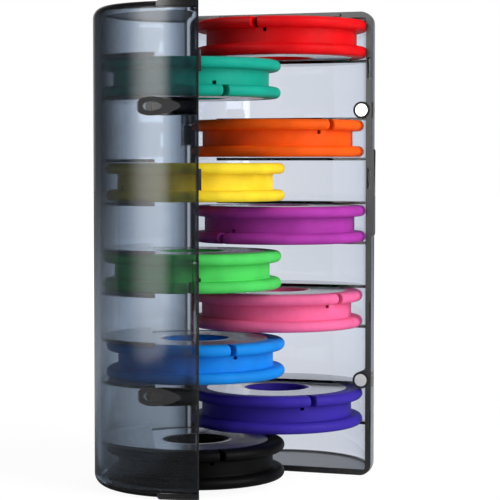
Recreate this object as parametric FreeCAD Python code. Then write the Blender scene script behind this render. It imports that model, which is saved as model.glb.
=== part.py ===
import FreeCAD, Part
import math
import os

V = FreeCAD.Vector
UP = V(0, 0, 1)
# Points closer than this are the same point
SAME = 0.001

# All sizes are in millimetres and degrees.
# Z runs up the case's axis, X runs from the hinge to the free edge of the base,
# and the base bulges towards +Y from the mouth plane at Y = 0.

# Spool: one soft moulding, a round bead along each rim and a winding groove between them
SPOOL_RADIUS = 35.0
BEAD_HEIGHT = 4.3
GROOVE_HEIGHT = 6.1
GROOVE_DEPTH = 4.6
SPOOL_BORE_RADIUS = 11.75
SPOOL_BORE_ROUND = 0.8

# Thread notch through each bead, and the pin hole beside it in the core
NOTCH_WIDTH = 2.2
NOTCH_DEPTH = 6.4
PIN_HOLE_SIDE = 1.5
PIN_HOLE_DEPTH = 5.0
PIN_HOLE_OFFSET = 2.9

# Label rings let into both faces of each spool
LABEL_THICKNESS = 0.25
LABEL_BORE_MARGIN = 1.4
LABEL_RIM_MARGIN = 6.6
LABEL_CLEARANCE = 0.1

# Case: two half tubes with closed, rounded ends
WALL = 2.3
END_WALL = 2.4
END_ROUND = 4.6
INNER_ROUND = 0.8
SPOOL_ROOM = 1.4
MOUTH_GAP = 0.2
OPEN_ANGLE = 65.8

# Shelves between the spools, set back from the mouth so that the other half's spools pass
SHELF_THICKNESS = 1.2
SHELF_SETBACK = 15.8
SHELF_FIT = 0.02
SEAT_GAP = 0.25
PASS_GAP = 1.0
TOP_ROOM = 0.9

# Magnets in hollow posts beside the free edge
MAGNET_RADIUS = 2.5
MAGNET_THICKNESS = 2.0
MAGNET_CLEARANCE = 0.03
MAGNET_LEDGE = 0.5
POST_WALL = 0.85
POST_LENGTH = 20.5
POST_CORE_LENGTH = 17.0
POST_INSET = 1.9
POST_CLEARANCE = 0.6

# Rim tabs and the slots that they close into
TAB_LENGTH = 8.0
TAB_WIDTH = 1.0
TAB_HEIGHT = 1.0
TAB_CLEARANCE = 0.2
TAB_NEAR = 26.6
TAB_FAR = 70.6
TAB_ACROSS = 21.7

# Thumb lips on the free edges, and the corner lugs on the cover
LIP_LENGTH = 35.5
LIP_PROUD = 1.05
LIP_DEPTH = 2.6
LIP_FROM_MIDDLE = 3.2
LIP_ROUND = 1.4
LUG_LENGTH = 15.6
LUG_HEIGHT = 2.2
LUG_ROUND = 1.2

# Hinge: two groups of three barrels on steel pins
HINGE_OFFSET = 1.3
BARREL_RADIUS = 2.6
BARREL_CLEARANCE = 0.3
BARREL_GAP = 0.3
HINGE_SPAN = 26.0
HINGE_MIDDLE = 9.0
HINGE_INSET = 40.0
PIN_RADIUS = 1.0
PIN_CLEARANCE = 0.04

# From the bottom up: colour, half of the case, turn of its upper notch, turned over or not,
# and how far it sits towards the free edge and out of the mouth from its cradle's axis
SPOOLS = [
    ("black", "cover", -52, False, 0.0, 1.0),
    ("navy", "base", -47, False, -0.8, 0.6),
    ("blue", "cover", 135, True, 0.0, 1.05),
    ("pink", "base", -25, False, -1.0, 0.2),
    ("green", "cover", -70, True, 0.0, -0.3),
    ("purple", "base", -114, True, 0.2, 0.0),
    ("yellow", "cover", 51, False, 0.0, 1.0),
    ("orange", "base", -34, False, -0.7, 0.0),
    ("teal", "cover", 133, False, 0.0, -0.6),
    ("red", "base", 90, True, 1.0, 0.0),
]
# The posts stand in the gaps above these spools
BELOW_MAGNETS = ("navy", "orange")

# Sizes that follow from those above
spool_height = 2 * BEAD_HEIGHT + GROOVE_HEIGHT
core_radius = SPOOL_RADIUS - GROOVE_DEPTH
label_inner = SPOOL_BORE_RADIUS + LABEL_BORE_MARGIN
label_outer = SPOOL_RADIUS - LABEL_RIM_MARGIN
inner_radius = SPOOL_RADIUS + SPOOL_ROOM
outer_radius = inner_radius + WALL
mouth = MOUTH_GAP / 2
rim_middle = (inner_radius + outer_radius) / 2
hinge_radius = outer_radius + HINGE_OFFSET
hinge_point = V(-hinge_radius, 0, 0)
post_radius = MAGNET_RADIUS + MAGNET_CLEARANCE + POST_WALL
post_x = inner_radius - POST_INSET
spool_step = spool_height + SEAT_GAP + SHELF_THICKNESS + PASS_GAP
magnet_step = spool_height + 2 * (post_radius + POST_CLEARANCE)

# Height of each spool's middle, stacked from the bottom end, and of each pair of magnets
spool_level = {}
magnet_levels = []
level = END_WALL + SEAT_GAP + spool_height / 2
for spool in SPOOLS:
    colour = spool[0]
    spool_level[colour] = level
    if colour in BELOW_MAGNETS:
        magnet_levels.append(level + magnet_step / 2)
        level += magnet_step
    else:
        level += spool_step
case_height = spool_level[SPOOLS[-1][0]] + spool_height / 2 + TOP_ROOM + END_WALL
case_middle = case_height / 2


def block(x0, x1, y0, y1, z0, z1):
    """A box between two corners."""
    return Part.makeBox(x1 - x0, y1 - y0, z1 - z0, V(x0, y0, z0))


def path(points):
    """A closed wire in the XZ plane; a point given as (x, z, x_through, z_through) ends an arc."""
    edges = []
    here = V(points[-1][0], 0, points[-1][1])
    for point in points:
        there = V(point[0], 0, point[1])
        if len(point) == 4:
            edges.append(Part.Arc(here, V(point[2], 0, point[3]), there).toShape())
        else:
            edges.append(Part.LineSegment(here, there).toShape())
        here = there
    return Part.Wire(edges)


def turned(points, angle):
    """The solid that a closed section sweeps as it turns about Z, starting at +X."""
    return Part.Face(path(points)).revolve(V(0, 0, 0), UP, angle)


def quarter(radius):
    """How far along each axis the middle of a quarter arc lies from its centre."""
    return radius * math.sqrt(0.5)


def round_end_section(radius, low, high, corner):
    """Half the outline of a round-cornered cylinder about Z, as points for a path."""
    flat = radius - corner
    bend = quarter(corner)
    return [
        (0, low),
        (flat, low),
        (radius, low + corner, flat + bend, low + corner - bend),
        (radius, high - corner),
        (flat, high, flat + bend, high - corner + bend),
        (0, high),
    ]


def swing(shape):
    """Carry a shape from the closed cover to where the cover stands open."""
    shape.rotate(hinge_point, UP, -OPEN_ANGLE)
    return shape


def onto_cover(shape):
    """Mirror a shape that was drawn on the base's side and swing it open with the cover."""
    return swing(shape.mirror(V(0, 0, 0), V(0, 1, 0)))


def case_blank():
    """Half of the hollow case: the solid half tube less its inside, cut back to the mouth plane."""
    outside = turned(round_end_section(outer_radius, 0, case_height, END_ROUND), 180)
    inside = turned(round_end_section(inner_radius, END_WALL, case_height - END_WALL, INNER_ROUND), 180)
    reach = 2 * outer_radius
    strip = block(-reach, reach, -reach, mouth, -END_WALL, case_height + END_WALL)
    return outside.cut(inside).cut(strip), outside, inside


def hinge_spans(group_middle):
    """Heights of the two outer barrels and of the middle barrel of one hinge group."""
    half = HINGE_SPAN / 2
    inner = HINGE_MIDDLE / 2
    gap = BARREL_GAP
    outer = [
        (group_middle - half, group_middle - inner - gap),
        (group_middle + inner + gap, group_middle + half),
    ]
    return outer, [(group_middle - inner, group_middle + inner)]


hinge_levels = {"lower": HINGE_INSET, "upper": case_height - HINGE_INSET}
base_barrels = []
cover_barrels = []
for group_level in hinge_levels.values():
    outer_spans, middle_span = hinge_spans(group_level)
    base_barrels += outer_spans
    cover_barrels += middle_span


def rods(spans, radius, reach=0.0):
    """Round rods on the hinge axis over the given heights, each longer by reach at both ends."""
    return [
        Part.makeCylinder(radius, top - low + 2 * reach, hinge_point + UP * (low - reach))
        for low, top in spans
    ]


def add_hinge(shell, own_barrels, other_barrels):
    """Give a shell its barrels, room for the other half's barrels, and the pin's bore."""
    shell = shell.fuse(rods(own_barrels, BARREL_RADIUS))
    shell = shell.cut(rods(other_barrels, BARREL_RADIUS + BARREL_CLEARANCE, BARREL_GAP))
    return shell.cut(rods(own_barrels, PIN_RADIUS + PIN_CLEARANCE, BARREL_GAP))


def add_posts(shell, outside):
    """Stand a hollow post for each magnet against the wall, open at the mouth, with a ledge inside."""
    into = V(0, 1, 0)
    for magnet_level in magnet_levels:
        foot = V(post_x, mouth, magnet_level)
        post = Part.makeCylinder(post_radius, POST_LENGTH, foot, into)
        pocket = Part.makeCylinder(MAGNET_RADIUS + MAGNET_CLEARANCE, MAGNET_THICKNESS, foot, into)
        core = Part.makeCylinder(MAGNET_RADIUS - MAGNET_LEDGE, POST_CORE_LENGTH, foot, into)
        inside_wall = Part.makeCylinder(outer_radius - POST_WALL, case_height)
        hollow = pocket.fuse(core.common(inside_wall))
        shell = shell.fuse(post.common(outside)).cut(hollow)
    return shell


def tab_blocks(places, raised, grow):
    """Blocks along the rim at (x, z, along X or not), raised from the mouth or sunk into it."""
    half_length = TAB_LENGTH / 2 + grow
    half_width = TAB_WIDTH / 2 + grow
    near = mouth - (TAB_HEIGHT if raised else WALL)
    far = mouth + (WALL if raised else TAB_HEIGHT + grow)
    blocks = []
    for x, z, along_x in places:
        dx, dz = (half_length, half_width) if along_x else (half_width, half_length)
        blocks.append(block(x - dx, x + dx, near, far, z - dz, z + dz))
    return blocks


upper_edge = [(rim_middle, case_middle + height, False) for height in (TAB_NEAR, TAB_FAR)]
lower_edge = [(rim_middle, case_middle - height, False) for height in (TAB_NEAR, TAB_FAR)]
end_walls = (END_WALL / 2, case_height - END_WALL / 2)
free_ends = [(TAB_ACROSS, height, True) for height in end_walls]
hinge_ends = [(-TAB_ACROSS, height, True) for height in end_walls]


def add_tabs(shell, tabs, slots):
    """Raise the tabs on a rim and sink the slots for the other rim's tabs."""
    shell = shell.fuse(tab_blocks(tabs, True, 0.0))
    return shell.cut(tab_blocks(slots, False, TAB_CLEARANCE))


def thumb_lip(low):
    """A bar along the free edge, rounded at its outer corners."""
    lip = block(rim_middle, outer_radius + LIP_PROUD, mouth, mouth + LIP_DEPTH, low, low + LIP_LENGTH)
    corners = [
        edge
        for edge in lip.Edges
        if edge.BoundBox.XMin > outer_radius and edge.BoundBox.YLength > LIP_DEPTH - SAME
    ]
    return lip.makeFillet(LIP_ROUND, corners)


def corner_lug(end, inward, inside):
    """A lug that squares off a rounded end beside the free edge; its heel is rounded."""
    low = min(end, end + inward * LUG_HEIGHT)
    back = mouth + LUG_LENGTH
    root = outer_radius - END_ROUND - LUG_LENGTH
    window = block(root, outer_radius, mouth, back, low, low + LUG_HEIGHT)
    lug = Part.makeCylinder(outer_radius, LUG_HEIGHT, UP * low).common(window)
    heel = [
        edge
        for edge in lug.Edges
        if edge.BoundBox.YMin > back - SAME and max(abs(v.Z - end) for v in edge.Vertexes) < SAME
    ]
    return lug.makeFillet(LUG_ROUND, heel).cut(inside)


def base_shell():
    shell, outside, _ = case_blank()
    shell = shell.fuse(thumb_lip(case_middle + LIP_FROM_MIDDLE))
    shell = add_posts(shell, outside)
    shell = add_hinge(shell, base_barrels, cover_barrels)
    return add_tabs(shell, lower_edge + free_ends, upper_edge + hinge_ends).removeSplitter()


def cover_shell():
    shell, outside, inside = case_blank()
    shell = shell.fuse(thumb_lip(case_middle - LIP_FROM_MIDDLE - LIP_LENGTH))
    shell = shell.fuse([corner_lug(0, 1, inside), corner_lug(case_height, -1, inside)])
    shell = add_posts(shell, outside)
    shell = add_hinge(shell, cover_barrels, base_barrels)
    shell = add_tabs(shell, upper_edge + hinge_ends, lower_edge + free_ends).removeSplitter()
    return onto_cover(shell)


def shelves(half):
    """Shelves above and below each of a half's spools, where no end wall takes their place."""
    reach = inner_radius - SHELF_FIT
    plates = []
    for colour, home, *_ in SPOOLS:
        if home != half:
            continue
        under = spool_level[colour] - spool_height / 2 - SEAT_GAP - SHELF_THICKNESS
        over = spool_level[colour] + spool_height / 2 + SEAT_GAP
        for low in (under, over):
            if low < END_WALL or low + SHELF_THICKNESS > case_height - END_WALL:
                continue
            plate = Part.makeCylinder(reach, SHELF_THICKNESS, UP * low)
            window = block(-reach, reach, SHELF_SETBACK, reach, low, low + SHELF_THICKNESS)
            plates.append(plate.common(window))
    into = V(0, 1, 0)
    length = POST_LENGTH + SHELF_FIT
    posts = [
        Part.makeCylinder(post_radius + SHELF_FIT, length, V(post_x, mouth, height), into)
        for height in magnet_levels
    ]
    return Part.makeCompound([plate.cut(posts) for plate in plates])


def magnets():
    """One disc in each post, level with the mouth."""
    return Part.makeCompound([
        Part.makeCylinder(MAGNET_RADIUS, MAGNET_THICKNESS, V(post_x, mouth, height), V(0, 1, 0))
        for height in magnet_levels
    ])


def hinge_pin(height):
    return Part.makeCylinder(PIN_RADIUS, HINGE_SPAN, hinge_point + UP * (height - HINGE_SPAN / 2))


def spool_blank():
    """A spool about Z with its middle at the origin."""
    half = spool_height / 2
    groove = GROOVE_HEIGHT / 2
    bead = BEAD_HEIGHT / 2
    crown = SPOOL_RADIUS - bead
    ease = SPOOL_BORE_ROUND
    bend = ease - quarter(ease)
    bore = SPOOL_BORE_RADIUS
    return turned([
        (bore, -half + ease),
        (bore + ease, -half, bore + bend, -half + bend),
        (crown, -half),
        (crown, -groove, SPOOL_RADIUS, -half + bead),
        (core_radius, -groove),
        (core_radius, groove),
        (crown, groove),
        (crown, half, SPOOL_RADIUS, half - bead),
        (bore + ease, half),
        (bore, half - ease, bore + bend, half - bend),
    ], 360)


def label_ring(low, thickness, grow):
    """A flat ring on a spool's face, wider on both edges by grow."""
    ring = Part.makeCylinder(label_outer + grow, thickness, UP * low)
    return ring.cut(Part.makeCylinder(label_inner - grow, thickness, UP * low))


def label_lows():
    """Heights of the undersides of the lower and the upper label on a spool."""
    half = spool_height / 2
    return (-half, half - LABEL_THICKNESS)


def notch_cuts():
    """The slot through the upper bead at +X, and the pin hole beside it just below the bead."""
    half = spool_height / 2
    groove = GROOVE_HEIGHT / 2
    wide = NOTCH_WIDTH / 2
    slot = block(SPOOL_RADIUS - NOTCH_DEPTH, 2 * SPOOL_RADIUS, -wide, wide, groove, 2 * half)
    side = PIN_HOLE_SIDE
    hole = block(core_radius - PIN_HOLE_DEPTH, SPOOL_RADIUS, -side / 2, side / 2, groove - side, groove)
    hole.rotate(V(0, 0, 0), UP, -math.degrees(PIN_HOLE_OFFSET / core_radius))
    return [slot, hole]


def spool_solid():
    """A spool with its notches: one in the upper bead at +X, one in the lower bead at -X."""
    cuts = notch_cuts()
    for cut in notch_cuts():
        lower = cut.mirror(V(0, 0, 0), UP)
        lower.rotate(V(0, 0, 0), UP, 180)
        cuts.append(lower)
    recesses = [label_ring(low, LABEL_THICKNESS, LABEL_CLEARANCE) for low in label_lows()]
    return spool_blank().cut(cuts + recesses)


def spool_labels():
    return Part.makeCompound([label_ring(low, LABEL_THICKNESS, 0.0) for low in label_lows()])


def seat(shape, spool):
    """Set a spool, or what is on it, into its cradle at its own turn."""
    colour, half, turn, flipped, along, out = spool
    if flipped:
        shape.rotate(V(0, 0, 0), V(1, 0, 0), 180)
    shape.rotate(V(0, 0, 0), UP, turn)
    if half == "base":
        shape.translate(V(along, -out, spool_level[colour]))
        return shape
    centre = V(along, out, spool_level[colour]) - hinge_point
    shape.translate(hinge_point + FreeCAD.Rotation(UP, -OPEN_ANGLE).multVec(centre))
    return shape


def save(shape, node):
    shape.exportStep("parts/" + node + ".step")


os.makedirs("parts", exist_ok=True)
save(base_shell(), "base_shell")
save(cover_shell(), "cover_shell")
save(shelves("base"), "base_shelves")
save(onto_cover(shelves("cover")), "cover_shelves")
save(magnets(), "base_magnets")
save(onto_cover(magnets()), "cover_magnets")
for place, height in hinge_levels.items():
    save(hinge_pin(height), "hinge_pin_" + place)
for spool in SPOOLS:
    save(seat(spool_solid(), spool), spool[0] + "_spool")
    save(seat(spool_labels(), spool), spool[0] + "_spool_labels")
print("case", round(2 * outer_radius, 2), "across and", round(case_height, 2), "tall")
print("magnets at", [round(height, 2) for height in magnet_levels])
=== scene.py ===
# %% [markdown]
# A smoked spool case, dressed in Blender
#
# The object is a tube of smoked plastic, split lengthwise and hinged down one edge. Ten soft thread
# spools sit in it on thin shelves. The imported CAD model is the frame: it gives every piece its
# place and its size, and this script gives each piece the form and the finish that a close look
# needs.

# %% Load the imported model
import math
import bmesh
import bpy
import numpy as np
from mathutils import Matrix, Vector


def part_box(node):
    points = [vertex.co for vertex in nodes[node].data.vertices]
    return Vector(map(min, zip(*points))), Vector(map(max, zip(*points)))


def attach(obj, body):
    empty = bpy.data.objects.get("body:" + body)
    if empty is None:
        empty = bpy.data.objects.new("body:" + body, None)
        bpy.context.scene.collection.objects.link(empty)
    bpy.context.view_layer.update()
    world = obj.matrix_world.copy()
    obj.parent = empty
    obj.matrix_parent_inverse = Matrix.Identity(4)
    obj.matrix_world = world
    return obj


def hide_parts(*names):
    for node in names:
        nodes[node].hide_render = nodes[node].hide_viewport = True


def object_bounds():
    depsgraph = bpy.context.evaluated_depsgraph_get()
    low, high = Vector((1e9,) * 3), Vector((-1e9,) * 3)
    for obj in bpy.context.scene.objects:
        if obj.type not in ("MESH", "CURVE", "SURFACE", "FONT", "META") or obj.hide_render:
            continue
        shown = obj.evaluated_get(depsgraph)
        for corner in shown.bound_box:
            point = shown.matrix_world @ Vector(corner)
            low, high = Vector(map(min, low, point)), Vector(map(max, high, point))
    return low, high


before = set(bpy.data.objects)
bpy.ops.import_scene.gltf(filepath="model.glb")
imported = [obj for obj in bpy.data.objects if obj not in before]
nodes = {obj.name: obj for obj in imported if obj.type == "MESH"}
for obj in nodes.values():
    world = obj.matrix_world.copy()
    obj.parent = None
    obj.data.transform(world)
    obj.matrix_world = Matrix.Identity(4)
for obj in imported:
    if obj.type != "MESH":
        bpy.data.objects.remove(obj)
cad_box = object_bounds()

# %% [markdown]
# Camera
#
# The photograph was taken from a little above the middle of the case with a long lens, so upright
# edges stay almost parallel. The place and the turn come from a pinhole camera fitted to the shelf
# edges, the magnets and the outline.

# %% Camera
CAMERA_PLACE = (0.2292, -0.7019, 0.1261)
CAMERA_YAW = 19.0
CAMERA_DOWN = 2.77
CAMERA_LENS = 130.8

camera = bpy.data.objects.new("camera", bpy.data.cameras.new("camera"))
camera.location = CAMERA_PLACE
camera.rotation_euler = (math.radians(90 - CAMERA_DOWN), 0, math.radians(CAMERA_YAW))
camera.data.lens = CAMERA_LENS
bpy.context.scene.collection.objects.link(camera)
bpy.context.scene.camera = camera
bpy.context.scene.view_settings.view_transform = "Standard"
print("camera", CAMERA_PLACE, "lens", CAMERA_LENS)

# %% [markdown]
# Shader sums
#
# A finish is a small sum over patterns. Blender builds sums from Math nodes, which are slow to read
# as code, so one class wraps a socket and lets Python's own signs add the nodes.


# %% A socket that can be summed
class Wire:
    """A node socket that takes part in sums: each sign adds a Math node to the same tree."""

    def __init__(self, tree, socket=None):
        self.tree = tree
        self.socket = socket

    def node(self, kind, settings=None, inputs=None, out=0):
        """Add a node, set its settings first, then give its sockets values or links."""
        made = self.tree.nodes.new(kind)
        for name, value in (settings or {}).items():
            setattr(made, name, value)
        for key, value in (inputs or {}).items():
            if isinstance(value, Wire):
                self.tree.links.new(value.socket, made.inputs[key])
            else:
                made.inputs[key].default_value = value
        return Wire(self.tree, made.outputs[out])

    def math(self, operation, first, second=0.0):
        return self.node("ShaderNodeMath", {"operation": operation}, {0: first, 1: second})

    def __add__(self, other):
        return self.math("ADD", self, other)

    def __radd__(self, other):
        return self.math("ADD", other, self)

    def __sub__(self, other):
        return self.math("SUBTRACT", self, other)

    def __rsub__(self, other):
        return self.math("SUBTRACT", other, self)

    def __mul__(self, other):
        return self.math("MULTIPLY", self, other)

    def __rmul__(self, other):
        return self.math("MULTIPLY", other, self)

    def __abs__(self):
        return self.math("ABSOLUTE", self)

    def vector(self, operation, first, second, out="Value"):
        """A Vector Math node on two places or directions."""
        inputs = {0: first, 1: second}
        return self.node("ShaderNodeVectorMath", {"operation": operation}, inputs, out)

    def object_place(self):
        """The place of the shaded point in the case's own frame, in metres."""
        return self.node("ShaderNodeTexCoord", out="Object")

    def part(self, axis):
        """One of the three numbers of a place: X, Y or Z."""
        return self.node("ShaderNodeSeparateXYZ", inputs={"Vector": self}, out=axis)

    def noise(self, place, scale, detail=3.0):
        """A cloudy pattern whose values lie around 0.5; a larger scale makes smaller clouds."""
        inputs = {"Vector": place, "Scale": scale, "Detail": detail}
        return self.node("ShaderNodeTexNoise", inputs=inputs)

    def step(self, low, high):
        """0 below low, 1 above high, and a smooth rise between them."""
        return self.node(
            "ShaderNodeMapRange",
            {"interpolation_type": "SMOOTHSTEP"},
            {"Value": self, "From Min": low, "From Max": high},
        )

    def mix(self, first, second):
        """The first colour where this is 0 and the second where it is 1."""
        inputs = {"Factor": self, 6: first, 7: second}
        return self.node("ShaderNodeMix", {"data_type": "RGBA"}, inputs, out=2)

    def shaders(self, first, second):
        """The first shader where this is 0 and the second where it is 1."""
        return self.node("ShaderNodeMixShader", inputs={0: self, 1: first, 2: second})


# %% Materials and colours
def new_material(name):
    """A material with an empty tree: its output node and a Wire to build with."""
    material = bpy.data.materials.new(name)
    material.use_nodes = True
    material.node_tree.nodes.clear()
    wire = Wire(material.node_tree)
    output = material.node_tree.nodes.new("ShaderNodeOutputMaterial")
    return material, wire, output


def link(wire, output, socket="Surface"):
    wire.tree.links.new(wire.socket, output.inputs[socket])


def srgb(red, green, blue):
    """A colour given as screen values from 0 to 255, in the linear values that shaders take."""
    screen = np.array([red, green, blue]) / 255
    linear = np.where(screen <= 0.04045, screen / 12.92, ((screen + 0.055) / 1.055) ** 2.4)
    return (*linear.tolist(), 1.0)


def grey(level):
    """A neutral colour of one linear level."""
    return (level, level, level, 1.0)


def dimmed(colour, share):
    """A colour whose red, green and blue are cut to the same share."""
    return (*(share * part for part in colour[:3]), 1.0)


# %% [markdown]
# Studio
#
# The case was shot on white, between a wide soft key light on the right and a tall soft light on
# the left. Dark screens around the camera keep most of the gloss black, and only what lies straight
# behind the case is mirrored as white. The camera, and light that has come through the plastic, see
# a white surround. All other light gets the level of a plain dim room.

# %% World
ROOM_LIGHT = 0.24
SCREEN_LIGHT = 0.03
WHITE_AHEAD = (0.86, 0.97)
yaw = math.radians(CAMERA_YAW)
TO_CAMERA = np.array([math.sin(yaw), -math.cos(yaw), 0.0])
TO_RIGHT = np.array([math.cos(yaw), math.sin(yaw), 0.0])


def ray_kind(wire, name):
    """One output of the Light Path node, such as Is Camera Ray."""
    return wire.node("ShaderNodeLightPath", out=name)


def reach_along(wire, place, way):
    """How far a place lies in the given direction."""
    return wire.vector("DOT_PRODUCT", place, way)


def studio_world():
    """White to the camera and through plastic; to gloss, white behind the case, dark elsewhere."""
    world = bpy.data.worlds.new("studio")
    bpy.context.scene.world = world
    world.use_nodes = True
    world.node_tree.nodes.clear()
    wire = Wire(world.node_tree)
    ahead = reach_along(wire, wire.node("ShaderNodeTexCoord", out="Generated"), tuple(-TO_CAMERA))
    mirrored = SCREEN_LIGHT + (1 - SCREEN_LIGHT) * ahead.step(*WHITE_AHEAD)
    clear = ray_kind(wire, "Is Camera Ray") + ray_kind(wire, "Is Transmission Ray")
    clear = (clear - ray_kind(wire, "Diffuse Depth")).step(0.0, 1.0)
    glossy = ray_kind(wire, "Is Glossy Ray")
    other = glossy * mirrored + (1 - glossy) * ROOM_LIGHT
    strength = clear + (1 - clear) * other
    shade = wire.node("ShaderNodeBackground", inputs={"Color": grey(1.0), "Strength": strength})
    link(shade, world.node_tree.nodes.new("ShaderNodeOutputWorld"))
    print("world: room light", ROOM_LIGHT)


studio_world()

# %% [markdown]
# Floor
#
# The case stands on a pale floor that runs out of sight. To the camera most of it glows white, as a
# bright sweep of paper does, and the painted share keeps the shadow. Seen through the plastic it
# glows too, but not under the case, nor in the long shade that falls behind it. Gloss sees painted
# shade on the floor on the left, a darker paint, so that the foot of the cover stays dark.

# %% Floor
FLOOR_SIZE = 12.0
FLOOR_PAINT = 0.9
FLOOR_GLOW_NEAR = 1.10
FLOOR_GLOW_FAR = 1.26
FLOOR_GLOW_REACH = (0.2, 0.7)
FLOOR_GLOW_SHARE = 0.85
THROUGH_GLOW_SHARE = 0.70
FOOT_MIDDLE = (-0.012, -0.018, 0.0)
UNDER_BASE = (0.040, 0.050)
GLOSS_PAINTED_SHADE = 0.3
DIM_MIDDLE = (-0.33, -0.38, 0.0)
DIM_REACH = (0.38, 0.55)
SHADE_START = (-0.090, 0.082, 0.0)
SHADE_WAY = (-0.377, 0.926, 0.0)
SHADE_SIDE = (0.926, 0.377, 0.0)
SHADE_LENGTH = (-0.05, 1.0)
SHADE_HALF_WIDTH = (0.036, 0.062)


def floor_shade(wire, place):
    """1 at the start of the long shade behind the case, fading to its sides and to its far end."""
    start = wire.vector("SUBTRACT", place, SHADE_START, out="Vector")
    sideways = abs(reach_along(wire, start, SHADE_SIDE))
    along = reach_along(wire, start, SHADE_WAY)
    return (1 - sideways.step(*SHADE_HALF_WIDTH)) * (1 - along.step(*SHADE_LENGTH))


def floor_material():
    """Matt pale paint, mixed with a white glow for the camera and for light through plastic."""
    material, wire, output = new_material("pale_floor")
    place = wire.object_place()
    away = wire.vector("DISTANCE", place, FOOT_MIDDLE)
    glow = away.step(*FLOOR_GLOW_REACH).mix(grey(FLOOR_GLOW_NEAR), grey(FLOOR_GLOW_FAR))
    white = wire.node("ShaderNodeEmission", inputs={"Color": glow, "Strength": 1.0})
    # painted shade seen only in gloss: a darker floor paint on the left
    dim = 1 - wire.vector("DISTANCE", place, DIM_MIDDLE).step(*DIM_REACH)
    dim = ray_kind(wire, "Is Glossy Ray") * dim
    paint = dim.mix(grey(FLOOR_PAINT), grey(GLOSS_PAINTED_SHADE))
    matt = wire.node("ShaderNodeBsdfDiffuse", inputs={"Color": paint})
    open_floor = wire.vector("DISTANCE", place, (0, 0, 0)).step(*UNDER_BASE)
    open_floor = open_floor * (1 - floor_shade(wire, place))
    through = ray_kind(wire, "Is Transmission Ray") - ray_kind(wire, "Diffuse Depth")
    through = through.step(0.0, 1.0)
    share = FLOOR_GLOW_SHARE * ray_kind(wire, "Is Camera Ray")
    share = share + THROUGH_GLOW_SHARE * through * open_floor
    link(share.shaders(matt, white), output)
    return material


floor = bpy.data.objects.new("floor", bpy.data.meshes.new("floor"))
corner = FLOOR_SIZE / 2
floor.data.from_pydata(
    [(-corner, -corner, 0), (corner, -corner, 0), (corner, corner, 0), (-corner, corner, 0)],
    [],
    [(0, 1, 2, 3)],
)
floor.data.materials.append(floor_material())
bpy.context.scene.collection.objects.link(floor)
print("floor", FLOOR_SIZE, "m across")

# %% [markdown]
# Lamps
#
# A wide softbox in front on the right lights the spools, and a weak one above and behind lifts the
# shadows. A softbox is a rectangle of light, so its power grows with its area, and the brightness
# that it is given here is that of its face.

# %% Lamps
LAMP_AIM = 0.09


def towards(bearing):
    """The level direction at a bearing in degrees: 0 is to the camera and 90 to the right."""
    turn = math.radians(bearing)
    return math.cos(turn) * TO_CAMERA + math.sin(turn) * TO_RIGHT


def softbox(name, bearing, distance, height, width, tall, radiance):
    """A rectangular lamp at a bearing and distance from the origin, tilted to face the case."""
    way = towards(bearing)
    lamp = bpy.data.lights.new(name, "AREA")
    lamp.shape = "RECTANGLE"
    lamp.size = width
    lamp.size_y = tall
    lamp.energy = radiance * math.pi * width * tall
    stand = bpy.data.objects.new(name, lamp)
    stand.location = (way[0] * distance, way[1] * distance, height)
    tilt = math.atan2(height - LAMP_AIM, distance)
    turn = math.atan2(way[1], way[0]) + math.radians(90)
    stand.rotation_euler = (math.radians(90) - tilt, 0, turn)
    bpy.context.scene.collection.objects.link(stand)
    stand.visible_camera = False
    print("lamp", name, "at", [round(v, 2) for v in stand.location], "W", round(lamp.energy, 1))


softbox("key_softbox", bearing=56, distance=1.1, height=0.55, width=0.8, tall=1.0, radiance=5.2)
softbox("top_softbox", bearing=160, distance=0.5, height=1.2, width=1.0, tall=1.0, radiance=0.7)

# %% [markdown]
# Streak
#
# The pale streak on the cover is the mirrored image of a large soft light that fades towards its
# sides. A lamp has hard sides, so the streak comes from a glowing card instead. Its glow rises from
# the left side to a broad middle, falls off faster on the right, and is weaker near the floor. Only
# gloss sees the card.

# %% Streak card
CARD_BEARING = -55.0
CARD_DISTANCE = 0.45
CARD_SIDE = 0.36
CARD_FOOT = 0.002
CARD_TOP = 0.75
CARD_GLOW = 5.6
CARD_RISE = (-80, -43)
CARD_FALL = (-35, -17)
CARD_FLOOR_GLOW = 0.42
CARD_GLOW_CLIMB = 2.85
COVER_MIDDLE = np.array([-0.045, -0.060, 0.0])


def card_reach(bearings):
    """Where bearings, seen from the cover, meet the card: metres to the right of its middle."""
    return [CARD_DISTANCE * math.tan(math.radians(b - CARD_BEARING)) for b in bearings]


def card_material(middle, across):
    """A glow that depends on the place across and up the card, and nothing else."""
    material, wire, output = new_material("streak_card")
    place = wire.object_place()
    reach = reach_along(wire, place, tuple(across)) - float(middle @ across)
    glow = reach.step(*card_reach(CARD_RISE)) * (1 - reach.step(*card_reach(CARD_FALL)))
    glow = glow * (CARD_FLOOR_GLOW + CARD_GLOW_CLIMB * place.part("Z"))
    colour = glow.mix(grey(0.0), grey(1.0))
    link(wire.node("ShaderNodeEmission", inputs={"Color": colour, "Strength": CARD_GLOW}), output)
    return material


def streak_card():
    """An upright card that faces the cover: its middle plus shares of its width and its height."""
    across = towards(CARD_BEARING + 90)
    middle = COVER_MIDDLE + CARD_DISTANCE * towards(CARD_BEARING)
    sides = np.array([-CARD_SIDE, CARD_SIDE, CARD_SIDE, -CARD_SIDE])[:, None]
    tops = np.array([CARD_FOOT, CARD_FOOT, CARD_TOP, CARD_TOP])[:, None]
    corners = middle + sides * across + tops * np.array([0, 0, 1.0])
    card = bpy.data.objects.new("streak_card", bpy.data.meshes.new("streak_card"))
    card.data.from_pydata(corners.tolist(), [], [(0, 1, 2, 3)])
    card.data.materials.append(card_material(middle, across))
    bpy.context.scene.collection.objects.link(card)
    card.visible_camera = False
    card.visible_diffuse = False
    card.visible_transmission = False
    card.visible_shadow = False
    print("streak card at", [round(v, 3) for v in middle])


streak_card()
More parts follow.
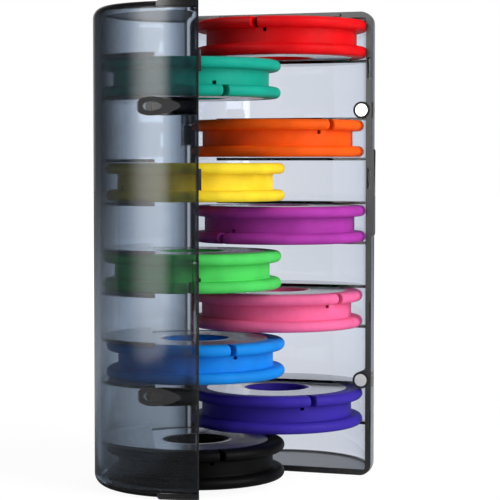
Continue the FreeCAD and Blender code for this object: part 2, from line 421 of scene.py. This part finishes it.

# %% [markdown]
# The two halves
#
# The case is moulded in a grey, lightly frosted plastic. Light that crosses a wall loses part of
# itself, and a volume that absorbs light does that by itself. The cover looks darker than the base,
# so it gets thicker smoke, a darker tint near its mouth and an edge that darkens sooner as the wall
# turns away; the tint and the edge are painted shade. The base's tint darkens a little near its
# mouth too, also as painted shade. Each half has its own axis, a direction from its mouth into it,
# and one along its mouth away from the hinge. The cover's are the base's, turned by the angle it
# stands open at.

# %% Where the halves lie and how they are smoked
HINGE_X = -0.040
OPEN_ANGLE = math.radians(65.8)
COVER_INTO = (-math.sin(OPEN_ANGLE), -math.cos(OPEN_ANGLE), 0.0)
COVER_ALONG = (math.cos(OPEN_ANGLE), -math.sin(OPEN_ANGLE), 0.0)
HALVES = {
    "base": {
        "axis": (0.0, 0.0),
        "into": (0.0, 1.0, 0.0),
        "along": (1.0, 0.0, 0.0),
        "smoke": ((0.06, 0.17, 0.42, 1.0), 168.0),
        "mouth_shade_tone": (0.86, 0.88, 0.90, 1.0),
        "mouth_depth": (0.010, 0.032),
        "edge": (0.60, 0.92),
        "dull": 0.03,
    },
    "cover": {
        "axis": (HINGE_X * (1 - COVER_ALONG[0]), -HINGE_X * COVER_ALONG[1]),
        "into": COVER_INTO,
        "along": COVER_ALONG,
        "smoke": ((0.06, 0.23, 0.42, 1.0), 250.0),
        "mouth_shade_tone": (0.46, 0.48, 0.52, 1.0),
        "mouth_depth": (0.002, 0.0088),
        "edge": (0.05, 0.85),
        "dull": 0.055,
    },
}
print("cover's axis", [round(v, 4) for v in HALVES["cover"]["axis"]])

# %% [markdown]
# Dark edges
#
# Light that runs along a wall is lost almost wholly, which is why the rims, the ends and the posts
# that hold the magnets look black. A path tracer would need very many turns of light inside the
# plastic to show that, so a mask marks these places, from distances in the case's own frame, and
# mixes in a near-black plastic there: that black is painted shade. Walls seen edge on get it too,
# more strongly higher up the case.

# %% Dark edges
CASE_HALF = cad_box[1][2] / 2
END_WALL = 0.0024
INNER_HALF = CASE_HALF - END_WALL
END_EDGE = (INNER_HALF - 0.0008, INNER_HALF - 0.0002)
END_SHADE = 0.8
RIM_DEPTH = (0.00015, 0.0016)
RIM_SHADE = 0.96
EDGE_LEVELS = (0.05, 0.13)
EDGE_SHADE = 0.4
EDGE_SHADE_RISE = 0.5
MAGNET_RADIUS = 0.0025
POST_EDGE = (0.00345, 0.00365)
POST_END = (0.0220, 0.0230)
POST_CORE_EDGE = (0.0015, 0.0019)
POST_CORE_START = (0.012, 0.013)
POST_CORE_PAINTED_LIGHT = 0.35


def measured(wire, place, way):
    """How far a point lies from the hinge axis in the given direction, in metres."""
    return reach_along(wire, place, way) - HINGE_X * way[0]


def post_painted_shade(wire, place, half, magnets):
    """Painted shade: 1 on the round posts that hold the magnets, less at the heart of their roots.

    The posts stand equally far above and below the middle of the two magnets' box, so the height is
    folded there, and the distance from a post's axis is the root of two squares.
    """
    low, high = (np.array(corner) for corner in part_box(magnets))
    middle = (low + high) / 2
    reach = float(np.dot(middle - (HINGE_X, 0, 0), half["along"]))
    rise = float((high[2] - low[2]) / 2 - MAGNET_RADIUS)
    sideways = measured(wire, place, half["along"]) - reach
    height = abs(place.part("Z") - float(middle[2])) - rise
    away = wire.math("SQRT", sideways * sideways + height * height)
    depth = measured(wire, place, half["into"])
    core = (1 - away.step(*POST_CORE_EDGE)) * depth.step(*POST_CORE_START)
    post_shade = (1 - away.step(*POST_EDGE)) * (1 - depth.step(*POST_END))
    return post_shade * (1 - POST_CORE_PAINTED_LIGHT * core)


def painted_shade_mask(wire, place, half, post_shade):
    """Painted shade, the largest of four: the rim, the ends, walls seen edge on, and the posts."""
    level = place.part("Z")
    rim = 1 - measured(wire, place, half["into"]).step(*RIM_DEPTH)
    ends = abs(level - CASE_HALF).step(*END_EDGE)
    slant = wire.node("ShaderNodeLayerWeight", inputs={"Blend": 0.5}, out="Facing")
    strength = EDGE_SHADE + EDGE_SHADE_RISE * level.step(*EDGE_LEVELS)
    mask = wire.math("MAXIMUM", RIM_SHADE * rim, END_SHADE * ends)
    mask = wire.math("MAXIMUM", mask, slant.step(*half["edge"]) * strength)
    return wire.math("MAXIMUM", mask, post_shade)


# %% [markdown]
# Smoked plastic
#
# The frosting is a fine grain in the mould: a rough clear surface with a small bump blurs what lies
# behind. The lamps' light has to cross the plastic to reach the spools, and a path tracer stops it
# there, so the surface is a tinted window to shadow rays, and the smoke still dims what they carry.
# The shelves are the same plastic without grain, and with more smoke, because they are thin.

# %% Smoked plastic
GRAIN_SCALE = 2600.0
GRAIN_DETAIL = 2.0
GRAIN_STRENGTH = 0.3
GRAIN_DEPTH = 0.000005
DRIFT_SCALE = 180.0
DRIFT_LOW = 0.8
DRIFT_SPAN = 0.4
PLASTIC_IOR = 1.5
DEEP_TONE = (0.98, 0.99, 1.0, 1)
PAINTED_SHADE_TONE = (0.006, 0.006, 0.008, 1)
PAINTED_SHADE_GLOSS = 0.64
PAINTED_SHADE_ROUGHNESS = 0.26
POST_ROUGHNESS = 0.5
WINDOW_TINT = (0.5, 0.51, 0.52, 1)
SHELF_TONE = (0.97, 0.98, 1.0, 1)
SHELF_SMOKE = ((0.06, 0.10, 0.16, 1.0), 700.0)
SHELF_DULL = 0.06


def frosting(wire, place, dull):
    """Roughness that drifts by a fifth to each side in slow patches."""
    return dull * (DRIFT_LOW + DRIFT_SPAN * wire.noise(place, DRIFT_SCALE))


def clear_plastic(wire, colour, roughness, **more):
    """A surface that light passes through and is bent by."""
    inputs = {"Base Color": colour, "Roughness": roughness, "IOR": PLASTIC_IOR}
    inputs |= {"Transmission Weight": 1.0, **more}
    return wire.node("ShaderNodeBsdfPrincipled", inputs=inputs)


def fill_with_smoke(wire, output, shade, smoke):
    """Link the surface, a window to shadow rays, and the smoke that absorbs light inside."""
    colour, density = smoke
    window = wire.node("ShaderNodeBsdfTransparent", inputs={"Color": WINDOW_TINT})
    absorb = wire.node("ShaderNodeVolumeAbsorption", inputs={"Color": colour, "Density": density})
    link(ray_kind(wire, "Is Shadow Ray").shaders(shade, window), output)
    link(absorb, output, "Volume")


def smoked_plastic(name, half, magnets):
    """Clear frosted plastic full of smoke, with near-black plastic as painted shade where the mask
    says.
    """
    material, wire, output = new_material(name)
    place = wire.object_place()
    grain = wire.noise(place, GRAIN_SCALE, GRAIN_DETAIL)
    bump = wire.node(
        "ShaderNodeBump",
        inputs={"Strength": GRAIN_STRENGTH, "Distance": GRAIN_DEPTH, "Height": grain},
    )
    roughness = frosting(wire, place, half["dull"])
    # painted shade: the tint darkens towards the mouth
    inside = measured(wire, place, half["into"]).step(*half["mouth_depth"])
    clear = clear_plastic(wire, inside.mix(half["mouth_shade_tone"], DEEP_TONE), roughness, Normal=bump)
    # painted shade on the posts, with a lighter core painted at their roots
    post_shade = post_painted_shade(wire, place, half, magnets)
    # painted shade: a near-black plastic for the rims, the ends, edge-on walls and the posts
    painted_shade_plastic = wire.node(
        "ShaderNodeBsdfPrincipled",
        inputs={
            "Base Color": PAINTED_SHADE_TONE,
            "Roughness": PAINTED_SHADE_ROUGHNESS + roughness + POST_ROUGHNESS * post_shade,
            "Specular IOR Level": PAINTED_SHADE_GLOSS,
            "Normal": bump,
        },
    )
    shade = painted_shade_mask(wire, place, half, post_shade).shaders(clear, painted_shade_plastic)
    fill_with_smoke(wire, output, shade, half["smoke"])
    return material


def shelf_plastic(name):
    """The same plastic for the thin shelves, whose edges show black."""
    material, wire, output = new_material(name)
    roughness = frosting(wire, wire.object_place(), SHELF_DULL)
    fill_with_smoke(wire, output, clear_plastic(wire, SHELF_TONE, roughness), SHELF_SMOKE)
    return material


def dress(node, material):
    """Give a CAD node one material."""
    mesh = nodes[node].data
    mesh.materials.clear()
    mesh.materials.append(material)


shelf = shelf_plastic("shelf_smoked_plastic")
for node in ("base_shelves", "cover_shelves"):
    dress(node, shelf)
print("shelves in", shelf.name)

# %% [markdown]
# Half tubes
#
# The CAD walls have the right shape, but they are flat triangles, and clear plastic shows every
# facet in what it bends. So each shell is copied, its triangles are joined, and its corners are
# given the directions of the true surface: straight out from the axis on the round walls, and
# square to the face on the rim and the ends. Averaged directions would wander on long thin
# triangles.

# %% Half tubes
WALL_RADII = (0.0364, 0.0387)
WALL_SLACK = 0.00003
LEVEL_FACE = 0.5
SQUARE_FACE = 0.9999
TINY = 1e-9
CASE_WELD = 2e-6
CASE_SHARP = 24


def read_mesh(items, name, size, kind=float):
    """One property of all vertices, corners or faces of a mesh as an array with rows of a size."""
    values = np.zeros(len(items) * size, kind)
    items.foreach_get(name, values)
    return values.reshape(-1, size)


def wall_normals(mesh, axis, into):
    """Corner normals of a half tube: straight out from the axis on round walls, square on flats.

    A triangle is on a round wall when its three points lie at the wall's radius and it doesn't face
    up or down.
    """
    corners = read_mesh(mesh.loops, "vertex_index", 1, np.int32)[:, 0]
    facing = read_mesh(mesh.polygons, "normal", 3).reshape(-1, 1, 3)
    normals = read_mesh(mesh.corner_normals, "vector", 3).reshape(-1, 3, 3)
    out = read_mesh(mesh.vertices, "co", 3) * (1, 1, 0) - (*axis, 0.0)
    radius = np.linalg.norm(out, axis=1)
    out = (out / np.maximum(radius, TINY)[:, None])[corners].reshape(-1, 3, 3)
    radius = radius[corners].reshape(-1, 3)
    near = [np.abs(radius - wall).max(1) < WALL_SLACK for wall in WALL_RADII]
    on_wall = (near[0] | near[1])[:, None, None] & (np.abs(facing[..., 2:]) < LEVEL_FACE)
    side = np.sign((facing * out).sum(-1, keepdims=True))
    square = np.maximum(np.abs(facing @ into), np.abs(facing[..., 2]))[..., None] > SQUARE_FACE
    normals = np.where(square, facing, normals)
    return np.where(on_wall, side * out, normals).reshape(-1, 3)


def smooth_copy(node, name, body, material, half):
    """A copy of a CAD shell whose joined triangles bend and mirror light without facets."""
    mesh = nodes[node].data.copy()
    mesh.name = name
    work = bmesh.new()
    work.from_mesh(mesh)
    bmesh.ops.remove_doubles(work, verts=work.verts, dist=CASE_WELD)
    work.to_mesh(mesh)
    work.free()
    mesh.polygons.foreach_set("use_smooth", np.ones(len(mesh.polygons), bool))
    mesh.set_sharp_from_angle(angle=math.radians(CASE_SHARP))
    mesh.normals_split_custom_set(wall_normals(mesh, half["axis"], half["into"]).tolist())
    mesh.materials.clear()
    mesh.materials.append(material)
    piece = bpy.data.objects.new(name, mesh)
    bpy.context.scene.collection.objects.link(piece)
    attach(piece, body)
    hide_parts(node)
    print(name, len(mesh.polygons), "faces", len(mesh.vertices), "points")


for body, half in HALVES.items():
    plastic = smoked_plastic(body + "_smoked_plastic", half, body + "_magnets")
    smooth_copy(body + "_shell", body + "_half_tube", body, plastic, half)

# %% [markdown]
# Spool form
#
# A soft spool is a turned ring: a bored core with a round bead at each end and a groove between
# them for the thread. Each bead has one slit that grips the thread's end, and beside it a small
# square hole that takes a pin. A turned profile is a grid of angle by profile point, so the slits
# and holes can be made in the grid itself: between two close columns the bead's points fall back to
# the slit's floor. The bead's ends are rounded by shrinking its section as it nears the slit, which
# a boolean cut would leave sharp. Lengths here are in millimetres, as on a maker's drawing.

# %% Spool profile
MM = 0.001
SPOOL_RADIUS = 35.0
SPOOL_HALF = 7.35
BEAD = 2.15
CORE = 30.4
GROOVE_HALF = 3.05
BORE = 11.75
BORE_EASE = 0.8
RECESS_IN = 13.05
RECESS_OUT = 28.5
RECESS_DEPTH = 0.25
FILLET = 0.35
SLIT_HALF = 1.1
SLIT_FLOOR = 28.6
SLIT_ROUND = 0.55
PIN_SIDE = 1.5
PIN_OFFSET = 2.9
PIN_FLOOR = 25.4
EDGE_GAP = 0.004
BEAD_RING = SPOOL_RADIUS - BEAD
BEAD_LEVEL = SPOOL_HALF - BEAD
SUNK_FACE = SPOOL_HALF - RECESS_DEPTH


def arc(centre, radius, start, end, count):
    """Points on a circle: the centre plus the radius at angles from start to end, in degrees."""
    angle = np.radians(np.linspace(start, end, count))
    return np.stack([centre[0] + radius * np.cos(angle), centre[1] + radius * np.sin(angle)], 1)


def run(start, end, count):
    """Points on a straight line, its start left out."""
    share = np.linspace(0, 1, count + 1)[1:, None]
    return np.array(start) * (1 - share) + np.array(end) * share


def spool_profile():
    """The ring's closed outline as (radius, height): from bore to core above, then its mirror."""
    face = SPOOL_HALF
    pin_low = GROOVE_HALF - PIN_SIDE
    upper = np.concatenate([
        [(BORE, 0.0)],
        run((BORE, 0.0), (BORE, face - BORE_EASE), 3),
        arc((BORE + BORE_EASE, face - BORE_EASE), BORE_EASE, 180, 90, 6)[1:],
        [(RECESS_IN, face), (RECESS_IN, SUNK_FACE)],
        run((RECESS_IN, SUNK_FACE), (RECESS_OUT, SUNK_FACE), 4),
        [(RECESS_OUT, face), (SLIT_FLOOR, face)],
        run((SLIT_FLOOR, face), (BEAD_RING, face), 6)[:-1],
        arc((BEAD_RING, BEAD_LEVEL), BEAD, 90, -90, 25),
        run((BEAD_RING, GROOVE_HALF), (CORE + FILLET, GROOVE_HALF), 4)[:-1],
        arc((CORE + FILLET, GROOVE_HALF - FILLET), FILLET, 90, 180, 6),
        run((CORE, GROOVE_HALF - FILLET), (CORE, pin_low + EDGE_GAP), 2),
        [(CORE, pin_low)],
        run((CORE, pin_low), (CORE, 0.0), 3),
    ])
    lower = upper[-2:0:-1] * (1, -1)
    return np.concatenate([upper, lower])


profile = spool_profile()
print("spool profile", len(profile), "points")

# %% Spool columns
SLIT_EASE = np.array([0.0, 0.05, 0.14, 0.28, 0.46, 0.7, 1.0])
COLUMN_STEP = 2.0
COLUMN_ROOM = 0.5


def spool_columns():
    """Angles round the spool in degrees: even steps, and close ones at the slits and pin holes."""
    wall = SLIT_HALF + SLIT_ROUND * SLIT_EASE
    floor_sides = [-SLIT_HALF + EDGE_GAP, 0.0, SLIT_HALF - EDGE_GAP]
    slit = np.concatenate([-wall[::-1], floor_sides, wall])
    slit = np.degrees(np.arcsin(slit / SPOOL_RADIUS))
    sides = np.array([-1.0, 1.0]) * PIN_SIDE / 2 - PIN_OFFSET
    pin = [sides[0], sides[0] + EDGE_GAP, sides.mean(), sides[1] - EDGE_GAP, sides[1]]
    pin = np.degrees(np.arcsin(np.array(pin) / CORE))
    close = np.concatenate([slit, pin])
    even = np.arange(-90.0, 90.0, COLUMN_STEP)
    apart = np.abs(even[:, None] - close).min(1) > COLUMN_ROOM
    half = np.sort(np.concatenate([even[apart], close]))
    return np.concatenate([half, half + 180])


columns = spool_columns()
print("spool columns", len(columns))

# %% Slits and pin holes
TOUCH = 1e-6
FLOOR_SLACK = 0.01


def shaped_section(angle, section):
    """Radius and height of every grid point, and 1 where it fell back into a slit or pin hole.

    A bead's points fall back to the slit's floor inside the slit, and beside it they shrink towards
    the bead's middle along a quarter circle. The core's points fall back in the pin hole.
    """
    upper = np.abs(angle) < 90
    along = np.sin(np.radians(np.where(upper, angle, angle - 180)))[:, None]
    mine = np.where(upper[:, None], section[:, 1] > 0, section[:, 1] < 0)
    radius = np.broadcast_to(section[:, 0], mine.shape).copy()
    height = np.broadcast_to(section[:, 1], mine.shape)
    level = np.abs(height)
    offset = np.abs(along * SPOOL_RADIUS)
    below = level < GROOVE_HALF + TOUCH
    bead = mine & (radius > SLIT_FLOOR - FLOOR_SLACK) & (level > GROOVE_HALF - TOUCH)
    fillet = mine & below & (radius > CORE + TOUCH) & (radius < CORE + FILLET + TOUCH)
    near = np.clip((SLIT_HALF + SLIT_ROUND - offset) / SLIT_ROUND, 0, 1)
    shrink = SLIT_ROUND / BEAD * (1 - np.sqrt(1 - near**2))
    reach = np.clip((radius - SLIT_FLOOR) / (BEAD_RING - SLIT_FLOOR), 0, 1)
    keep = 1 - shrink * reach * bead
    outer = radius > BEAD_RING
    radius = np.where(outer, BEAD_RING + (radius - BEAD_RING) * keep, radius)
    eased = np.sign(height) * np.where(bead, BEAD_LEVEL + (level - BEAD_LEVEL) * keep, level)
    in_slit = offset < SLIT_HALF - EDGE_GAP / 2
    height = np.where(bead & in_slit, height, eased)
    radius = np.where(bead & in_slit & ~fillet, SLIT_FLOOR, radius)
    radius = np.where(fillet & in_slit, CORE, radius)
    in_pin = np.abs(along * CORE + PIN_OFFSET) < PIN_SIDE / 2 - EDGE_GAP / 2
    pin_rows = mine & (level < GROOVE_HALF - TOUCH) & (radius > CORE - TOUCH)
    pin_rows = pin_rows & (level > GROOVE_HALF - PIN_SIDE + EDGE_GAP / 2)
    radius = np.where(pin_rows & in_pin, PIN_FLOOR, radius)
    fallen = (bead & in_slit) | (pin_rows & in_pin)
    return radius, height, fallen.astype(float)


def turned(radius, height, angles):
    """Points of a profile carried round the axis: radius by cosine and sine, and the height."""
    angle = np.radians(angles)[:, None]
    return np.stack([radius * np.cos(angle), radius * np.sin(angle), height + 0 * angle], -1)


def ring_faces(across, around):
    """Quads of a grid that closes both ways."""
    i, j = np.meshgrid(np.arange(across), np.arange(around), indexing="ij")
    here, there = i * around, (i + 1) % across * around
    next_j = (j + 1) % around
    return np.stack([here + j, there + j, there + next_j, here + next_j], -1).reshape(-1, 4)


section_radius, section_height, spool_slits = shaped_section(columns, profile)
spool_grid = turned(section_radius, section_height, columns)
spool_quads = ring_faces(len(columns), len(profile))
print("spool grid", spool_grid.shape, "fallen points", int(spool_slits.sum()))

# %% [markdown]
# Spools in the case
#
# All ten spools are one shape. Each sits in the middle of its CAD spool's box, turned to where the
# photograph shows its slits, and some are upside down. The points that fell back are marked with an
# attribute, so that shade can be painted inside the slits and pin holes.

# %% Spool seats
SPOOL_TURNS = {
    "black": (-52, False),
    "navy": (-47, False),
    "blue": (135, True),
    "pink": (-25, False),
    "green": (-70, True),
    "purple": (-114, True),
    "yellow": (51, False),
    "orange": (-34, False),
    "teal": (133, False),
    "red": (90, True),
}
SPOOL_WELD = 1e-6
SPOOL_SHARP = 38


def spool_seat(colour):
    """The middle of the CAD spool's box, with the spool's turn and whether it is upside down."""
    low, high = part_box(colour + "_spool")
    return (np.array(low) + np.array(high)) / 2, *SPOOL_TURNS[colour]


def seated(points, seat):
    """Points of a spool about its own axis, flipped and turned, in its place in the case."""
    place, turn, flipped = seat
    points = points * (1, -1, -1) if flipped else points
    angle = math.radians(turn)
    x = points[..., 0] * math.cos(angle) - points[..., 1] * math.sin(angle)
    y = points[..., 0] * math.sin(angle) + points[..., 1] * math.cos(angle)
    return np.stack([x, y, points[..., 2]], -1) * MM + place


def finished(name, points, faces, sharp, fallen=None):
    """An object from whole arrays: doubles merged, faces turned outwards, smooth but for edges."""
    mesh = bpy.data.meshes.new(name)
    mesh.from_pydata(points.reshape(-1, 3), [], faces.tolist())
    if fallen is not None:
        slit = mesh.attributes.new("slit", "FLOAT", "POINT")
        slit.data.foreach_set("value", fallen.ravel())
    work = bmesh.new()
    work.from_mesh(mesh)
    bmesh.ops.remove_doubles(work, verts=work.verts, dist=SPOOL_WELD)
    bmesh.ops.dissolve_degenerate(work, edges=work.edges, dist=SPOOL_WELD)
    bmesh.ops.recalc_face_normals(work, faces=work.faces)
    work.to_mesh(mesh)
    work.free()
    mesh.polygons.foreach_set("use_smooth", np.ones(len(mesh.polygons), bool))
    mesh.set_sharp_from_angle(angle=math.radians(sharp))
    piece = bpy.data.objects.new(name, mesh)
    bpy.context.scene.collection.objects.link(piece)
    return piece


spools = {}
for colour in SPOOL_TURNS:
    points = seated(spool_grid, spool_seat(colour))
    piece = finished(colour + "_soft_spool", points, spool_quads, SPOOL_SHARP, spool_slits)
    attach(piece, colour + "_winder")
    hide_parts(colour + "_spool")
    spools[colour] = piece
print("spools", len(spools), "of", len(spools["red"].data.polygons), "faces")

# %% [markdown]
# Silicone
#
# The spools are dyed silicone with a dull, slightly waxy skin. Real dye is never quite even and the
# skin picks up dust and finger grease, so a slow noise shifts the colour a little and a finer one
# the roughness. A very small bump breaks the gloss along the beads.

# %% Silicone
SPOOL_COLOURS = {
    "black": srgb(7, 7, 7),
    "navy": srgb(62, 46, 170),
    "blue": srgb(22, 140, 236),
    "pink": srgb(250, 112, 166),
    "green": srgb(82, 214, 100),
    "purple": srgb(180, 60, 174),
    "yellow": srgb(253, 222, 50),
    "orange": srgb(255, 96, 18),
    "teal": srgb(20, 168, 146),
    "red": srgb(236, 14, 22),
}
PATCH_SCALE = 90.0
PATCH_EDGE = (0.35, 0.7)
PATCH_SHADE = 0.86
SLIT_PAINTED_SHADE = 0.4
SKIN_SCALE = 900.0
SKIN_STRENGTH = 0.2
SKIN_DEPTH = 0.00006
SILICONE_ROUGHNESS = 0.5
SILICONE_DRIFT = 0.14
SILICONE_GLOSS = 0.12
SILICONE_IOR = 1.42


def silicone(colour):
    """Dyed skin: dye darker in slow patches, shade painted in slits and pin holes; the gloss
    drifts.
    """
    material, wire, output = new_material(colour + "_silicone")
    place = wire.object_place()
    skin = wire.noise(place, SKIN_SCALE)
    dye = SPOOL_COLOURS[colour]
    uneven = wire.noise(place, PATCH_SCALE).step(*PATCH_EDGE).mix(dye, dimmed(dye, PATCH_SHADE))
    # painted shade: the dye is darkened where points fell back into slits and pin holes
    slit = wire.node("ShaderNodeAttribute", {"attribute_name": "slit"}, out="Fac")
    bump = wire.node(
        "ShaderNodeBump",
        inputs={"Strength": SKIN_STRENGTH, "Distance": SKIN_DEPTH, "Height": skin},
    )
    shade = wire.node(
        "ShaderNodeBsdfPrincipled",
        inputs={
            "Base Color": slit.mix(uneven, dimmed(dye, SLIT_PAINTED_SHADE)),
            "Roughness": SILICONE_ROUGHNESS + SILICONE_DRIFT * (skin - 0.5),
            "Specular IOR Level": SILICONE_GLOSS,
            "IOR": SILICONE_IOR,
            "Normal": bump,
        },
    )
    link(shade, output)
    return material


for colour, piece in spools.items():
    piece.data.materials.append(silicone(colour))
print("silicone in", len(SPOOL_COLOURS), "colours")

# %% [markdown]
# Labels
#
# A film ring is let into each face of a spool. It is plain silver film, brushed round the ring,
# with a white edge around the bore. Its own UV map, with the angle along u and the radius along v,
# lets both follow the ring.

# %% Label rings
LABEL_IN = 13.15
LABEL_OUT = 28.4
LABEL_EASE = 0.05
LABEL_STEP = 2.0
LABEL_SHARP = 40


def label_profile():
    """The outline of one film ring in its recess, eased along its upper edges."""
    face = SPOOL_HALF
    return np.concatenate([
        [(LABEL_IN, SUNK_FACE), (LABEL_IN, face - LABEL_EASE), (LABEL_IN + LABEL_EASE, face)],
        run((LABEL_IN + LABEL_EASE, face), (LABEL_OUT - LABEL_EASE, face), 5),
        [(LABEL_OUT, face - LABEL_EASE), (LABEL_OUT, SUNK_FACE)],
    ])


def ring_map(mesh, place):
    """Give a ring its UV map: u is the angle as a share of a turn, v the share of its width."""
    flat = (read_mesh(mesh.vertices, "co", 3) - place)[:, :2] / MM
    turn_share = np.arctan2(flat[:, 1], flat[:, 0]) / (2 * np.pi) + 0.5
    across = (np.hypot(flat[:, 0], flat[:, 1]) - LABEL_IN) / (LABEL_OUT - LABEL_IN)
    corner_of = read_mesh(mesh.loops, "vertex_index", 1, np.int32)[:, 0]
    u, v = turn_share[corner_of].reshape(-1, 4), across[corner_of].reshape(-1, 4)
    over_seam = (u.max(1) - u.min(1) > 0.5)[:, None]
    u = np.where(over_seam & (u < 0.5), u + 1, u)
    mesh.uv_layers.new(name="ring").data.foreach_set("uv", np.stack([u, v], -1).ravel())


def label_piece(colour):
    """Both rings of one spool: the outline turned about the axis, and its mirror below."""
    outline = label_profile()
    angles = np.arange(0.0, 360.0, LABEL_STEP)
    upper = turned(outline[:, 0], outline[:, 1], angles).reshape(-1, 3)
    quads = ring_faces(len(angles), len(outline))
    points = np.concatenate([upper, upper * (1, 1, -1)])
    faces = np.concatenate([quads, quads[:, ::-1] + len(upper)])
    seat = spool_seat(colour)
    piece = finished(colour + "_label_film", seated(points, seat), faces, LABEL_SHARP)
    ring_map(piece.data, seat[0])
    return piece


# %% Label film
BRUSH_STRETCH = (6.0, 60.0, 1.0)
BRUSH_SCALE = 4.0
BRUSH_DETAIL = 4.0
BRUSH_EDGE = (0.3, 0.7)
WHITE_EDGE = (0.070, 0.082)
FILM_METAL = 0.85
FILM_ROUGHNESS = 0.16
FILM_DRIFT = 0.12


def label_film():
    """Silver film brushed round the ring: fine noise stretched along u, white at the inner edge."""
    material, wire, output = new_material("label_film")
    ring = wire.node("ShaderNodeUVMap", {"uv_map": "ring"})
    stretched = wire.node("ShaderNodeMapping", inputs={"Vector": ring, "Scale": BRUSH_STRETCH})
    brushing = wire.noise(stretched, BRUSH_SCALE, BRUSH_DETAIL)
    silver = brushing.step(*BRUSH_EDGE).mix(srgb(168, 168, 172), srgb(200, 200, 203))
    silvered = ring.part("Y").step(*WHITE_EDGE)
    shade = wire.node(
        "ShaderNodeBsdfPrincipled",
        inputs={
            "Base Color": silvered.mix(srgb(250, 250, 250), silver),
            "Roughness": FILM_ROUGHNESS + FILM_DRIFT * brushing,
            "Metallic": FILM_METAL * silvered,
        },
    )
    link(shade, output)
    return material


film = label_film()
for colour in SPOOL_TURNS:
    piece = label_piece(colour)
    piece.data.materials.append(film)
    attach(piece, colour + "_winder")
    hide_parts(colour + "_spool_labels")
print("labels", len(SPOOL_TURNS))

# %% [markdown]
# Metal
#
# The magnets are plated discs and the hinge runs on drawn steel pins. Plating has faint clouds, and
# a pin has fine lines along its length, so one noise is left round and the other is stretched along
# Z.

# %% Metal
CLOUD_EDGE = (0.35, 0.75)
WORN_SHADE = 0.82


def metal(name, colour, dull, stretch, spread):
    """Bare metal: a noise, stretched by the given scales, shifts the colour and the roughness."""
    material, wire, output = new_material(name)
    inputs = {"Vector": wire.object_place(), "Scale": stretch}
    clouds = wire.noise(wire.node("ShaderNodeMapping", inputs=inputs), 1.0)
    shade = wire.node(
        "ShaderNodeBsdfPrincipled",
        inputs={
            "Base Color": clouds.step(*CLOUD_EDGE).mix(colour, dimmed(colour, WORN_SHADE)),
            "Roughness": dull + spread * (clouds - 0.5),
            "Metallic": 1.0,
        },
    )
    link(shade, output)
    return material


PLATING_TONE = (0.93, 0.93, 0.92, 1)
STEEL_TONE = (0.62, 0.62, 0.63, 1)
plating = metal("magnet_plating", PLATING_TONE, dull=0.22, stretch=(900, 900, 900), spread=0.16)
steel = metal("hinge_steel", STEEL_TONE, dull=0.28, stretch=(6000, 6000, 60), spread=0.2)
for node in ("base_magnets", "cover_magnets"):
    dress(node, plating)
for node in ("hinge_pin_lower", "hinge_pin_upper"):
    dress(node, steel)
print("metal on magnets and hinge pins")
